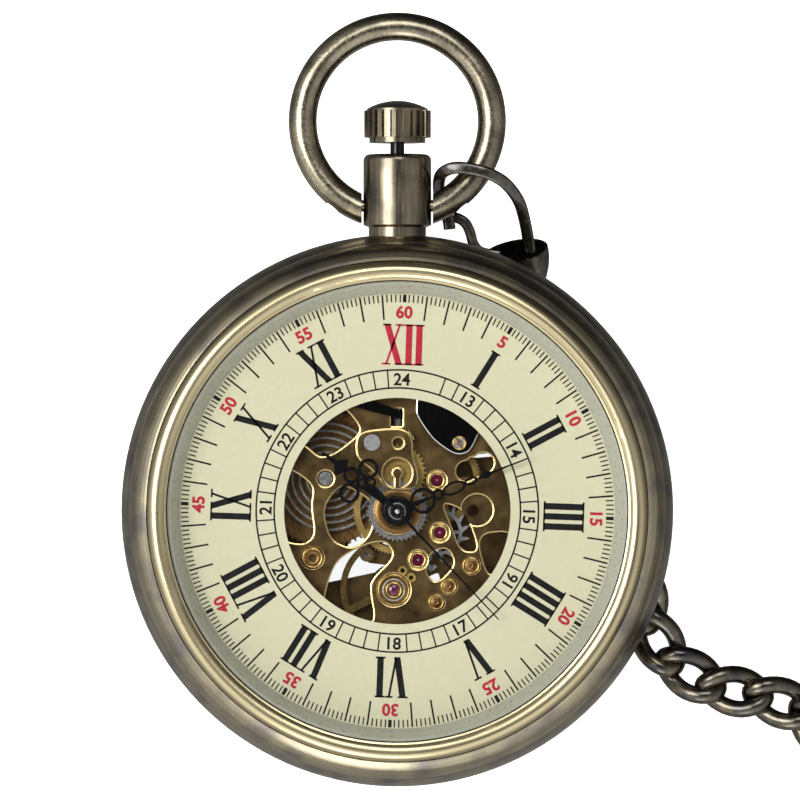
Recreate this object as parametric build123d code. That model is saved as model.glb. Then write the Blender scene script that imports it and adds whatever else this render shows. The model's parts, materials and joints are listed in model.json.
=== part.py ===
"""Open-dial pocket watch with its bow, clasp and curb chain, lying on its back.

Frame: millimetres, +Z out of the dial, +Y toward the crown, origin at the middle of the
face that the back rests on. Every sub-part is written to parts/NODE.step.
"""
from build123d import *

import os
from math import atan2, cos, degrees, radians, sin

# ---- driving dimensions -------------------------------------------------------------
CASE_R = 23.5  # widest radius of the case band
DIAL_R = 19.0  # dial's outer radius
APERTURE_R = 9.63  # open middle of the dial
MOVEMENT_R = 15.5  # main plate radius
STEM_Z = 6.2  # height of the winding stem's axis
PENDANT_R = 2.9
CROWN_R = 2.875
CROWN_FLUTES = 24
STEM_R = 0.6
BOW_Y = 33.3  # centre of the bow's ring
BOW_R = 8.1  # bow's centreline radius
BOW_WIRE_R = 1.2
PIN_Y = 26.05  # bow pins' axis
RUN = 0.03  # radial clearance of a running fit

# ---- places of the wheels' axes, in the dial's plane ----------------------------------
CENTER = (0, 0)
BARREL = (-6.12, 2.74)
THIRD = (3.37, 2.6)
ESCAPE = (3.61, -1.85)
FORK = (1.76, -4.18)
BALANCE = (-0.3, -6.74)
MINUTE = (0, 3.23)
SETTING = (-2.148, 5.815)
CROWN_WHEEL = (0, 6.4)
LEVER_PIVOT = (4.0, 12.0)
YOKE_PIVOT = (-4.0, 9.5)

# ---- places of the screws, posts and feet -----------------------------------------------
COVER_SCREWS = [(5.29, 5.78), (5.6, 11.6)]  # hold the setting bridge
NUT = (-7.23, -4.0)
BANKING_POSTS = [(0.45, -5.1), (1.18, -5.7)]
DIAL_FEET = [(17.4, 100), (17.4, 280)]  # radius and angle
CASE_SCREWS = [(16.0, 30), (16.0, 150), (16.0, 270)]
COCK_SCREW = (-8.3, -9.3)
PALLET_FEET = [(-2.6, -3.75), (4.85, -5.0)]
BARREL_SCREWS = [(14.2, 60), (14.2, 120), (14.2, 185)]
TRAIN_SCREWS = [(14.2, 10), (14.2, -50)]
CLICK_FROM_BARREL = (5.3, 112)
CLICK_TURN = -20.0

# ---- heights (z) of the movement's layers --------------------------------------------
PLATE = (7.6, 8.6)
BRIDGE = (4.5, 5.2)
COCK = (3.7, 4.5)
PALLET_COCK = (6.1, 6.6)
WINDING = (4.55, 4.95)  # ratchet and crown wheel, in pockets of the bridge
MINUTE_BRIDGE = (9.3, 9.6)
KEYLESS = (8.65, 8.9)  # setting lever, yoke and the wheels beside them
SETTING_BRIDGE = (8.95, 9.25)
HEAD_DEPTH = 0.35  # a bridge screw's head
HEAD_R = 0.9
ESCAPE_LAYER = (6.85, 7.05)
FORK_LAYER = (6.8, 7.05)
BALANCE_RIM = (5.25, 5.65)
REGULATOR = (3.42, 3.66)
HOUR_HAND = (10.4, 10.58)
MINUTE_HAND = (10.85, 11.03)
SECOND_HAND = (11.3, 11.42)
DIAL = (9.8, 10.2)

# ---- gears: teeth and pitch radius ----------------------------------------------------
BARREL_GEAR = (72, 5.887)
CENTER_PINION = (10, 0.818)
CENTER_GEAR = (80, 3.783)
THIRD_PINION = (10, 0.473)
THIRD_GEAR = (75, 3.755)
FOURTH_PINION = (10, 0.501)
FOURTH_GEAR = (80, 3.687)
ESCAPE_PINION = (8, 0.369)
CANNON_GEAR = (12, 0.8075)
MINUTE_GEAR = (36, 2.4225)
MINUTE_PINION = (10, 0.646)
HOUR_GEAR = (40, 2.584)
ESCAPE_TEETH = 15
CLUTCH_TEETH = 10
RIM_SCREWS = 12  # weights on the balance's rim
SETTING_GEAR = (14, 0.942)
RATCHET_GEAR = (35, 3.840)
CROWN_GEAR = (30, 3.291)

# ---- hands: direction of each tip, degrees clockwise from twelve ------------------------
HOUR_AT = 308.2
MINUTE_AT = 67.8
SECOND_AT = 136.9

# ---- chain ------------------------------------------------------------------------------
CHAIN_R = 1.1  # half the chain's thickness
CHAIN_Z = 1.15
COIL_AT = (62.5, -19.0)
COIL_OUTER = 26.7
COIL_INNER = 12.9
BAR_LENGTH = 20
BAR_Z = 1.3
CHAIN_ROUTE = [
    (12.6, 16.8, CHAIN_Z),
    (17.0, 12.8, CHAIN_Z),
    (20.0, 7.0, CHAIN_Z),
    (21.2, 1.2, CHAIN_Z),
    (20.8, -4.0, CHAIN_Z),
    (21.2, -8.8, CHAIN_Z),
    (23.2, -12.9, CHAIN_Z),
    (27.2, -15.4, CHAIN_Z),
    (32.4, -16.2, CHAIN_Z),
    (36.6, -18.4, CHAIN_Z),
    (39.2, -24.5, CHAIN_Z),
]


# ---- helpers ----------------------------------------------------------------------------
def outline(start, *steps):
    """Closed face; a step is the next corner, or an arc's (middle, end)."""
    edges = []
    at = start
    for step in steps:
        if isinstance(step[0], tuple):
            edges.append(ThreePointArc(at, step[0], step[1]))
            at = step[1]
        else:
            edges.append(Line(at, step))
            at = step
    if at != start:
        edges.append(Line(at, start))
    return make_face(edges)


def turned(start, *steps):
    """Solid of an outline in (radius, height) turned about the vertical axis."""
    return revolve(Plane.XZ * outline(start, *steps), axis=Axis.Z)


def disc(radius, low, high, at=CENTER):
    """Upright cylinder between two heights."""
    return Pos(at[0], at[1], (low + high) / 2) * Cylinder(radius, high - low)


def ring(outer, inner, low, high, at=CENTER):
    return disc(outer, low, high, at) - disc(inner, low - 1, high + 1, at)


def box(x, y, z):
    """Box between the two limits of each axis."""
    middle = [(limits[0] + limits[1]) / 2 for limits in (x, y, z)]
    return Pos(*middle) * Box(x[1] - x[0], y[1] - y[0], z[1] - z[0])


def plate(points, low, high):
    """Flat piece of a polygon outline."""
    return Pos(0, 0, low) * extrude(Polygon(*points, align=None), high - low, dir=(0, 0, 1))


def flowing_plate(points, low, high):
    """Flat piece whose outline flows in a curve past every corner of a polygon."""
    starts = [part_way(corner, before) for before, corner in zip(points[-1:] + points, points)]
    ends = [part_way(corner, after) for corner, after in zip(points, points[1:] + points[:1])]
    edges = []
    for start, corner, end, following in zip(starts, points, ends, starts[1:] + starts[:1]):
        edges += [Bezier(start, corner, end), Line(end, following)]
    return Pos(0, 0, low) * extrude(make_face(edges), high - low, dir=(0, 0, 1))


def part_way(start, end):
    """Point where a corner's curve leaves the side that runs to the next corner."""
    return tuple(a + CURVED_SHARE * (b - a) for a, b in zip(start, end))


def toward(start, end):
    """Direction of end from start, degrees."""
    return degrees(atan2(end[1] - start[1], end[0] - start[0]))


def polar(radius, angle, middle=CENTER):
    return (middle[0] + radius * cos(radians(angle)), middle[1] + radius * sin(radians(angle)))


def moved(at, angle, shape):
    return Pos(at[0], at[1], 0) * Rot(0, 0, angle) * shape


def along_stem(shape):
    """A shape made along Z laid along the winding stem."""
    return Pos(0, 0, STEM_Z) * Rot(-90, 0, 0) * shape


def gear(spec, low, high, at, tooth_at, bore=0.0):
    """Toothed disc with the middle of one tooth toward tooth_at degrees."""
    teeth, pitch = spec
    module = 2 * pitch / teeth
    step = 360 / teeth
    corners = []
    for i in range(teeth):
        for radius, side in ((-1.0, -0.22), (0.5, -0.10), (0.5, 0.10), (-1.0, 0.22)):
            corners.append(polar(pitch + radius * module, tooth_at + (i + side) * step))
    body = Pos(at[0], at[1], low) * extrude(Polygon(*corners, align=None), high - low, dir=(0, 0, 1))
    if bore:
        body -= disc(bore, low - 1, high + 1, at)
    return body


def gap_angle(spec, toward_angle):
    """Tooth angle that leaves a gap facing toward_angle."""
    return toward_angle + 180 / spec[0]


def crossed(wheel, spec, low, high, at, hub, arms, turn=0.0):
    """Cut the windows between a wheel's arms."""
    rim = spec[1] * 0.84
    arm_width = spec[1] * 0.13
    windows = ring(rim, hub, low - 0.5, high + 0.5, at)
    for i in range(arms):
        arm = box((0, spec[1]), (-arm_width / 2, arm_width / 2), (low - 1, high + 1))
        windows -= moved(at, turn + i * 360 / arms, arm)
    return wheel - windows


def arbor(at, low, high, radius, pivot=0.10, tip=0.45):
    """Arbor with a thinner pivot at each end."""
    return disc(radius, low + tip, high - tip, at) + disc(pivot, low, high, at)


def wire(points, radius, bend):
    """Round wire along straight runs joined by arcs."""
    path = FilletPolyline(*points, radius=bend)
    section = Plane(origin=path @ 0, z_dir=path % 0) * Circle(radius)
    return sweep(section, path=path)


def slotted_screw(at, low, high, radius, top_up=True, shank=0.0):
    """Cheese-head screw; the slot is on its upper or its lower end."""
    depth = min(0.12, (high - low) / 2)
    cut = (high - depth, high + 1) if top_up else (low - 1, low + depth)
    slot = box((-2 * radius, 2 * radius), (-0.13 * radius, 0.13 * radius), cut)
    screw = disc(radius, low, high, at) - moved(at, 35 + 50 * at[0], slot)
    if shank:
        inner = (low - shank, low) if top_up else (high, high + shank)
        screw += disc(radius * 0.5, inner[0], inner[1], at)
    return screw


# ---- case ---------------------------------------------------------------------------------
def make_case():
    """Shells of the case, each an outline in (radius, height) turned about the axis."""
    band = turned(
        (21.25, 4.65), (22.6, 4.65), ((CASE_R, 6.6), (22.9, 9.65)), (20.4, 9.65),
        (20.4, 10.15), (19.3, 10.15), (19.3, 5.3), (21.25, 5.3),
    )
    lid = turned(
        (13.0, 0), (14.5, 0), ((19.1, 2.35), (22.6, 4.6)), (21.15, 4.6), (21.15, 5.2),
        (20.3, 5.2), (20.3, 4.3), (14.6, 1.6), (13.95, 1.6), (13.95, 0.42), (13.0, 0.42),
    )
    bezel = turned(
        (20.45, 9.7), (22.85, 9.7), ((22.45, 11.2), (21.3, 12.1)), (21.15, 11.8),
        ((20.45, 13.0), (19.75, 12.7)), (19.6, 12.65), (19.6, 12.1), (19.55, 10.2), (20.45, 10.2),
    )
    crystal = turned(
        (0, 13.1), (dome(9.5, 13.1, 18.9, 12.12), (18.9, 12.12)), (19.55, 12.12),
        (19.55, 12.6), (dome(9.7, 14.0, 19.55, 12.6), (0, 14.0)),
    )
    reflector = turned((18.5, 10.22), (19.45, 10.22), (19.5, 12.05), (19.25, 12.05), (18.5, 10.4))
    stem_bore = along_stem(Pos(0, 0, 20) * Cylinder(0.75, 12))
    band -= stem_bore
    pendant = along_stem(pendant_body()) - band - lid - bezel - disc(22.5, 0, 14)
    for side in (-1, 1):
        pendant -= Pos(side * 3, PIN_Y, STEM_Z) * Rot(0, 90, 0) * Cylinder(0.5, 1.6)
    parts["case_band"] = band
    parts["back_lid"] = lid
    parts["bezel"] = bezel
    parts["crystal"] = crystal
    parts["back_crystal"] = disc(13.9, 0.45, 1.35)
    parts["reflector_ring"] = reflector
    parts["pendant"] = pendant


def dome(radius, apex, edge_r, edge_z):
    """Point at a radius of a spherical dome that has its apex on the axis."""
    sag = apex - edge_z
    sphere = (edge_r**2 + sag**2) / (2 * sag)
    return (radius, apex - sphere + (sphere**2 - radius**2) ** 0.5)


def pendant_body():
    """Pendant along its own axis, bored for the stem."""
    return revolve(
        Plane.XZ * outline(
            (0.75, 20.0), (2.45, 20.0), (2.45, 24.2), (PENDANT_R, 24.4), (PENDANT_R, 29.9),
            ((2.75, 30.3), (2.35, 30.45)), (0.75, 30.45),
        ),
        axis=Axis.Z,
    )


def make_crown():
    """Fluted crown, and the stem with its square for the clutch and its lever groove."""
    crown = Pos(0, 0, 31.9) * extrude(pinion_face(CROWN_FLUTES, CROWN_R, 0.3), 2.3, dir=(0, 0, 1))
    crown += Pos(0, 0, 31.7) * Cylinder(2.4, 0.5)
    crown += turned((0, 34.1), (2.6, 34.1), (2.6, 34.35), (dome(1.3, 35.05, 2.6, 34.35), (0, 35.05)))
    crown -= Pos(0, 0, 31.5) * Cylinder(STEM_R, 2.0)
    stem = Pos(0, 0, 22.0) * Cylinder(STEM_R, 21.0)
    stem += Pos(0, 0, 9.1) * Box(0.7, 0.7, 4.8)
    stem -= Pos(0, 0, 12.15) * (Cylinder(1.0, 0.7) - Cylinder(0.34, 0.7))
    parts["crown"] = along_stem(crown)
    parts["stem"] = along_stem(stem)


def make_bow():
    """Bow cut away round the pendant, on two pins."""
    bow = Pos(0, BOW_Y, STEM_Z) * Torus(BOW_R, BOW_WIRE_R)
    bow -= box((-3.05, 3.05), (22, 30), (0, 12))
    pins = []
    for side in (-1, 1):
        bow -= Pos(side * 4, PIN_Y, STEM_Z) * Rot(0, 90, 0) * Cylinder(0.56, 4)
        pins.append(Pos(side * 3.4, PIN_Y, STEM_Z) * Rot(0, 90, 0) * Cylinder(0.5, 2.4))
    parts["bow_pins"] = Compound(children=pins)
    parts["bow"] = bow


# ---- dial and hands -------------------------------------------------------------------------
def make_dial():
    low, high = DIAL
    dial = ring(DIAL_R, APERTURE_R, low, high)
    for foot in DIAL_FEET:
        dial += disc(0.4, low - 0.9, low, polar(*foot))
    parts["dial"] = dial


def make_hands():
    """The pierced hands, each made pointing to twelve and then turned to its place."""
    low, high = HOUR_HAND
    hour = box((-0.32, 0.32), (0.9, 3.5), (low, high))
    hour += plate([(-0.95, 6.0), (0, 6.9), (0.95, 6.0), (0, 5.5)], low, high)
    hour += plate([(-0.28, 6.2), (0, 8.65), (0.28, 6.2)], low, high)
    for x, y, radius in ((-1.3, 4.15, 0.87), (1.3, 4.15, 0.87), (0, 3.8, 0.5), (0, 4.95, 0.72)):
        hour += ring(radius, radius - 0.27, low, high, (x, y))
    hour += disc(1.26, low, high)
    hour -= disc(1.02, low - 1, high + 1)
    hour += ring(1.2, 1.02 + RUN, low - 0.5, high)
    parts["hour_hand"] = Rot(0, 0, -HOUR_AT) * hour

    low, high = MINUTE_HAND
    minute = ring(1.1, 0.85, low, high, (0, 2.35))
    minute += plate([(-0.28, 1.0), (-0.1, 3.3), (0.1, 3.3), (0.28, 1.0)], low, high)
    minute += ring(0.5, 0.25, low, high, (0, 3.75))
    minute += oval_ring(1.05, 0.56, low, high, 5.2)
    minute += oval_ring(0.62, 0.34, low, high, 6.75)
    minute += plate([(-0.34, 8.2), (0, 8.9), (0.34, 8.2), (0, 7.25)], low, high)
    minute += plate([(-0.13, 8.4), (0, 12.4), (0.13, 8.4)], low, high)
    minute += disc(1.1, low, high)
    minute -= disc(0.72, low - 1, high + 1)
    parts["minute_hand"] = Rot(0, 0, -MINUTE_AT) * minute

    low, high = SECOND_HAND
    second = disc(0.62, low, high)
    second += plate([(-0.12, 0.4), (-0.05, 12.6), (0.05, 12.6), (0.12, 0.4)], low, high)
    second += plate([(-0.14, -0.4), (-0.1, -3.0), (0.1, -3.0), (0.14, -0.4)], low, high)
    second += ring(0.5, 0.28, low, high, (0, -3.35))
    second -= disc(0.15, low - 1, high + 1)
    parts["second_hand"] = Rot(0, 0, -SECOND_AT) * second


def oval_ring(long_r, short_r, low, high, y):
    """Flat oval ring, its long axis along the hand."""
    face = Ellipse(short_r, long_r) - Ellipse(short_r - 0.2, long_r - 0.22)
    return Pos(0, y, low) * extrude(face, high - low)


# ---- movement: plates and bridges --------------------------------------------------------------
CURVED_SHARE = 0.42  # part of a side taken by the curve at each of its ends
PLATE_WINDOWS = [
    [(-4.2, 8.5), (-3.1, 7.05), (-3.5, 6.3), (-5.3, 4.9), (-6.6, 4.5), (-7.7, 5.5), (-10.0, 7.2),
     (-6.5, 10.3)],
    [(-8.8, 3.45), (-7.1, 2.1), (-7.4, 0.4), (-7.0, -2.1), (-8.1, -3.0), (-11.5, -2.0),
     (-11.5, 4.0)],
    [(-5.3, 1.8), (-6.35, 0.1), (-5.7, -2.5), (-3.8, -3.3), (-2.3, -2.1), (-1.8, 0.6),
     (-4.4, 2.2)],
    [(-2.5, -2.75), (-5.05, -4.1), (-5.9, -6.0), (-6.5, -9.0), (-3.0, -11.2), (-1.9, -9.2),
     (-2.3, -7.2), (-2.3, -5.9), (-0.2, -3.9), (-0.9, -2.6)],
    [(2.85, -3.5), (4.3, -3.1), (5.0, -4.6), (3.3, -6.3), (2.35, -5.2)],
    [(3.8, 0.7), (5.1, 0.35), (5.95, -0.4), (7.0, -3.5), (5.4, -3.45), (4.6, -1.2)],
    [(6.7, -2.0), (9.9, -1.7), (9.4, -3.9), (7.8, -6.0)],
]
PLATE_SCREWS = [(6.29, -4.66, 0.70), (4.38, -6.42, 0.63), (3.33, -7.79, 0.63), (5.29, 5.78, 0.56)]
RING_JEWELS = [(THIRD, 0.57), (ESCAPE, 0.57), (FORK, 0.57)]


def make_main_plate():
    """Main plate with its windows, jewel seats, screw sinks and the slots of the keyless works."""
    low, high = PLATE
    body = disc(MOVEMENT_R, low, high)
    for at in COVER_SCREWS:
        body += disc(0.92, high, SETTING_BRIDGE[0], at)
    for window in PLATE_WINDOWS:
        body -= flowing_plate(window, low - 1, high + 1)
    body -= disc(0.52, low - 1, high + 1)
    body -= disc(0.5, low - 1, high + 1, (6.4, 0))
    body -= disc(1.34, high - 0.25, high + 1, (6.8, 0.07))
    for x, y in ((5.88, 3.38), (6.62, 3.74), (7.36, 4.09)):
        body -= disc(0.87, low - 1, high + 1, (x, y))
    for at, radius in RING_JEWELS:
        body -= disc(radius + 0.24, 8.05, high + 1, at)
        body -= disc(0.24, low - 1, high + 1, at)
    body -= disc(1.4, 8.05, high + 1, BALANCE)
    body -= disc(0.2, low - 1, high + 1, BALANCE)
    body -= disc(0.70, low - 1, high + 1, BARREL)
    body -= disc(0.91, 8.2, high + 1, NUT)
    for x, y, radius in PLATE_SCREWS:
        top = 9 if y > 0 else high
        body -= disc(radius + 0.02, top - 0.35, high + 1, (x, y))
    for at in BANKING_POSTS:
        body -= disc(0.2, low - 1, high + 1, at)
    body -= box((-0.4, 0.45), (11.8, 13.3), (low - 1, high + 1))
    body -= box((-0.55, 0.45), (7.2, 8.7), (low - 1, high + 1))
    for at, radius in ((MINUTE, 0.25), (SETTING, 0.25), (LEVER_PIVOT, 0.4), (YOKE_PIVOT, 0.4)):
        body -= disc(radius, 8.1, high + 1, at)
    parts["main_plate"] = body


def make_bridges():
    """Barrel bridge and train bridge: two shares of one disc, each with its foot ring."""
    low, high = BRIDGE
    foot = ring(15.3, 13.1, high, PLATE[0])
    upper = Polygon(
        (-15.5, -4.5), (-4.5, -3.4), (-1.2, 1.4), (2.2, 3.0), (4.4, 4.6), (15.5, 5.5), (15.5, 15.5),
        (-15.5, 15.5), align=None,
    )
    lower = Polygon(
        (-1.3, 0.9), (2.2, 2.7), (4.5, 4.3), (15.5, 5.2), (15.5, -15.5), (5.5, -15.5), (2.2, -2.2),
        (-1.3, -1.0), align=None,
    )
    barrel_bridge = (disc(15.3, low, high) + foot) & (Pos(0, 0, low) * extrude(upper, 4, dir=(0, 0, 1)))
    train_bridge = (disc(15.3, low, high) + foot) & (Pos(0, 0, low) * extrude(lower, 4, dir=(0, 0, 1)))
    barrel_bridge -= disc(RATCHET_GEAR[1] + 0.25, low - 1, WINDING[1] + 0.04, BARREL)
    barrel_bridge -= disc(CROWN_GEAR[1] + 0.25, low - 1, WINDING[1] + 0.04, CROWN_WHEEL)
    barrel_bridge -= disc(0.62, low - 1, high + 1, BARREL)
    barrel_bridge -= disc(0.5, low - 1, high + 1, CROWN_WHEEL)
    barrel_bridge -= box((-1.45, 1.45), (7.0, 10.7), (4.85, 9))
    barrel_bridge -= box((-1.0, 1.0), (10.6, 16), (high - 0.1, 9))
    barrel_bridge -= moved(polar(*CLICK_FROM_BARREL, BARREL), CLICK_TURN, click_pocket())
    train_bridge -= disc(5.0, low - 1, 9, BALANCE)
    for at in (CENTER, THIRD, ESCAPE):
        train_bridge -= disc(0.57, low - 1, high + 1, at)
    for spot in BARREL_SCREWS:
        barrel_bridge -= screw_seat(polar(*spot), low, high + 0.6)
    for spot in TRAIN_SCREWS:
        train_bridge -= screw_seat(polar(*spot), low, high + 0.6)
    parts["barrel_bridge"] = barrel_bridge
    parts["train_bridge"] = train_bridge
    for spot in BARREL_SCREWS + TRAIN_SCREWS:
        bridge_screws.append(slotted_screw(polar(*spot), low, low + HEAD_DEPTH, HEAD_R, False, 0.8))


def screw_seat(at, low, deep):
    """Sink for a bridge screw's head, with the hole for its shank."""
    return disc(HEAD_R + 0.02, low - 1, low + HEAD_DEPTH, at) + disc(HEAD_R / 2 + 0.01, low, deep, at)


def click_pocket():
    low = BRIDGE[0] - 1
    return disc(0.75, low, WINDING[1] + 0.04) + box((0, 3.0), (-0.5, 1.0), (low, WINDING[1] + 0.04))


def make_click():
    """Click in its pocket behind the ratchet wheel, on a shouldered screw."""
    low, high = WINDING
    at = polar(*CLICK_FROM_BARREL, BARREL)
    click = disc(0.5, low, high) + plate([(0, 0.3), (2.5, 0.06), (2.5, -0.06), (0, -0.3)], low, high)
    click -= disc(0.23, low - 1, high + 1)
    parts["click"] = moved(at, CLICK_TURN, click)
    screw = disc(0.2, low, high) + disc(0.4, low - 0.2, low)
    bridge_screws.append(moved(at, CLICK_TURN, screw))


def make_cocks():
    """Balance cock with its regulator, and the pallet cock."""
    low, high = COCK
    body = disc(2.1, low, high, BALANCE)
    body += plate([(-1.6, -5.3), (-9.6, -7.0), (-10.0, -9.6), (-6.6, -12.2), (-0.9, -8.7)], low, high)
    foot = plate([(-7.4, -7.4), (-9.6, -7.0), (-10.0, -9.6), (-6.6, -12.2), (-5.6, -11.2)], high, PLATE[0])
    body += foot - disc(5.3, high - 1, 9, BALANCE)
    body -= disc(0.62, low - 1, high + 1, BALANCE)
    body -= screw_seat(COCK_SCREW, low, high + 1)
    parts["balance_cock"] = body
    bridge_screws.append(slotted_screw(COCK_SCREW, low, low + HEAD_DEPTH, HEAD_R, False, 1.0))
    collar = ring(1.35, 0.9, *REGULATOR, BALANCE)
    pointer = box((1.2, 3.3), (-0.16, 0.16), REGULATOR) + disc(0.3, *REGULATOR, (3.3, 0))
    parts["regulator"] = collar + moved(BALANCE, 200, pointer)

    low, high = PALLET_COCK
    cock = plate([(-3.2, -3.9), (-2.5, -3.0), (1.7, -3.3), (4.6, -4.1), (5.5, -4.7), (5.2, -5.6),
                  (4.4, -5.6), (1.6, -5.0), (-2.4, -4.5)], low, high)
    for at in PALLET_FEET:
        cock += disc(0.62, low, PLATE[0], at)
        cock -= disc(0.3, low - 1, high + 1, at)
    cock -= disc(0.4, low - 1, high + 1, FORK)
    parts["pallet_cock"] = cock
    for at in PALLET_FEET:
        bridge_screws.append(disc(0.5, low - 0.2, low, at) + disc(0.3, low, high, at))


def jewel(at, radius, low, high, pivot=0.12):
    return ring(radius, pivot, low, high, at)


def make_jewels():
    """Ruby bearings, and the gilt settings that hold the dial-side ones."""
    rubies = [jewel(at, radius, 8.1, 8.52) for at, radius in RING_JEWELS]
    settings = [ring(radius + 0.24, radius, 8.05, 8.62, at) for at, radius in RING_JEWELS]
    rubies.append(jewel(BALANCE, 0.5, 8.15, 8.6, 0.1))
    parts["plate_jewels"] = Compound(children=rubies)
    back = [jewel(at, 0.57, BRIDGE[0] + 0.1, BRIDGE[1] - 0.1) for at in (CENTER, THIRD, ESCAPE)]
    back.append(jewel(FORK, 0.4, PALLET_COCK[0], PALLET_COCK[1] - 0.1))
    back.append(jewel(BALANCE, 0.35, 3.6, 4.3, 0.1))
    parts["bridge_jewels"] = Compound(children=back)
    settings.append(ring(1.38, 0.5, 8.1, 8.66, BALANCE) - ring(1.15, 0.75, 8.5, 9, BALANCE))
    settings.append(ring(0.6, 0.35, 3.55, 4.4, BALANCE))
    parts["jewel_settings"] = Compound(children=settings)


# ---- going train --------------------------------------------------------------------------------
def make_train():
    """Barrel with its mainspring, then the center, third, fourth and escape wheels."""
    to_barrel = toward(CENTER, BARREL)
    drum = ring(5.5, 5.2, 6.15, 6.75, BARREL) + disc(5.5, 6.15, 6.25, BARREL)
    toothed = gear(BARREL_GEAR, 6.75, 7.2, BARREL, to_barrel + 180)
    drum += toothed - disc(5.2, 6.7, 7.3, BARREL)
    parts["mainspring_barrel"] = drum - disc(0.64, 6, 8, BARREL)
    spring = spiral(1.3, 0.62, 12, 0.2, 0.72)
    parts["mainspring"] = Pos(BARREL[0], BARREL[1], 6.34) * spring
    hub = disc(0.60, 4.4, 8.55, BARREL) + disc(0.9, 6.3, 7.05, BARREL)
    hub -= moved(BARREL, 20, box((-1, 1), (-0.13, 0.13), (8.4, 9)))
    parts["barrel_arbor"] = hub

    wheel = gear(CENTER_GEAR, 7.25, 7.45, CENTER, toward(CENTER, THIRD))
    wheel = crossed(wheel, CENTER_GEAR, 7.25, 7.45, CENTER, 1.1, 5)
    wheel += gear(CENTER_PINION, 6.75, 7.25, CENTER, gap_angle(CENTER_PINION, to_barrel))
    wheel += disc(0.48, 7.45, 8.55)
    parts["center_wheel"] = wheel - disc(0.2, 6, 9)

    wheel = gear(THIRD_GEAR, 6.45, 6.65, THIRD, toward(THIRD, CENTER))
    wheel = crossed(wheel, THIRD_GEAR, 6.45, 6.65, THIRD, 0.8, 5)
    wheel += gear(THIRD_PINION, 6.65, 7.5, THIRD, gap_angle(THIRD_PINION, toward(THIRD, CENTER)))
    parts["third_wheel"] = wheel + arbor(THIRD, 4.7, 8.5, 0.2)

    wheel = gear(FOURTH_GEAR, 5.85, 6.05, CENTER, toward(CENTER, ESCAPE))
    wheel = crossed(wheel, FOURTH_GEAR, 5.85, 6.05, CENTER, 0.8, 5)
    wheel += gear(FOURTH_PINION, 6.2, 6.7, CENTER, gap_angle(FOURTH_PINION, toward(CENTER, THIRD)))
    wheel += disc(0.2, 5.3, 6.65) + disc(0.1, 4.7, 5.4) + disc(0.15, 6.6, 11.42)
    parts["fourth_wheel"] = wheel

    low, high = ESCAPE_LAYER
    club = []
    for i in range(ESCAPE_TEETH):
        for radius, angle in ((1.95, 0), (2.5, 9.5), (2.58, 13), (2.3, 13.5), (1.95, 12)):
            club.append(polar(radius, i * 360 / ESCAPE_TEETH + angle))
    wheel = Pos(0, 0, low) * extrude(Polygon(*club, align=None), high - low, dir=(0, 0, 1))
    windows = ring(1.65, 0.6, low - 0.5, high + 0.5)
    for angle in (0, 90):
        windows -= Rot(0, 0, angle) * box((-2, 2), (-0.13, 0.13), (low - 1, high + 1))
    wheel = moved(ESCAPE, 0, wheel - windows)
    wheel += gear(ESCAPE_PINION, 5.65, 6.25, ESCAPE, gap_angle(ESCAPE_PINION, toward(ESCAPE, CENTER)))
    wheel += disc(0.2, 5.3, 6.9, ESCAPE) + disc(0.1, 4.7, 8.5, ESCAPE)
    parts["escape_wheel"] = wheel


def spiral(inner, pitch, halves, width, height):
    """Flat spring of half rings, each wider than the last by half the pitch."""
    body = None
    for k in range(halves):
        radius = inner + k * pitch / 2
        side = 1 if k % 2 else -1
        half = ring(radius + width / 2, radius - width / 2, 0, height)
        half &= box((-20, 20), (0, 20) if side > 0 else (-20, 0), (-1, height + 1))
        half = Pos(0 if k % 2 else pitch / 2, 0, 0) * half
        body = half if body is None else body + half
    return body


def make_escapement():
    """Pallet fork with its stones, and the balance with its staff and hairspring."""
    fork_turn = toward(FORK, ESCAPE) - 90
    fork_bend = toward(FORK, BALANCE) + 90 - fork_turn
    fork = disc(0.35, *FORK_LAYER) + box((-1.55, 1.55), (-0.16, 0.3), FORK_LAYER)
    stones = []
    for middle in (-1.5, 1.5):
        fork += box((middle - 0.17, middle + 0.17), (0.05, 0.55), FORK_LAYER)
        stones.append(box((middle - 0.11, middle + 0.11), (0.55, 0.81), FORK_LAYER))
    fork += Rot(0, 0, fork_bend) * box((-0.15, 0.15), (-2.1, 0), FORK_LAYER)
    fork += Rot(0, 0, fork_bend) * box((-0.35, 0.35), (-2.27, -2.03), FORK_LAYER)
    fork += disc(0.1, 6.15, 8.5)
    parts["pallet_fork"] = moved(FORK, fork_turn, fork)
    parts["pallet_stones"] = moved(FORK, fork_turn, Compound(children=stones))

    rim = ring(4.6, 4.05, *BALANCE_RIM, BALANCE)
    rim += moved(BALANCE, 25, box((-4.2, 4.2), (-0.32, 0.32), (5.3, 5.6)))
    rim += disc(0.7, 5.3, 5.6, BALANCE)
    for i in range(RIM_SCREWS):
        rim += disc(0.24, 5.08, BALANCE_RIM[0], polar(4.32, 25 + i * 360 / RIM_SCREWS, BALANCE))
    parts["balance_wheel"] = rim - disc(0.22, 5, 6, BALANCE)
    staff = disc(0.22, 4.4, 7.6, BALANCE) + disc(0.08, 3.75, 8.5, BALANCE)
    staff += disc(0.5, 6.2, 6.45, BALANCE) + disc(0.85, 6.45, 6.65, BALANCE)
    staff += disc(0.12, 6.65, 7.05, polar(0.62, toward(BALANCE, FORK), BALANCE))
    parts["balance_staff"] = staff
    coil = Pos(BALANCE[0], BALANCE[1], 4.75) * spiral(0.45, 0.3, 12, 0.07, 0.2)
    parts["hairspring"] = coil + ring(0.5, 0.24, 4.72, 4.97, BALANCE)


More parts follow.
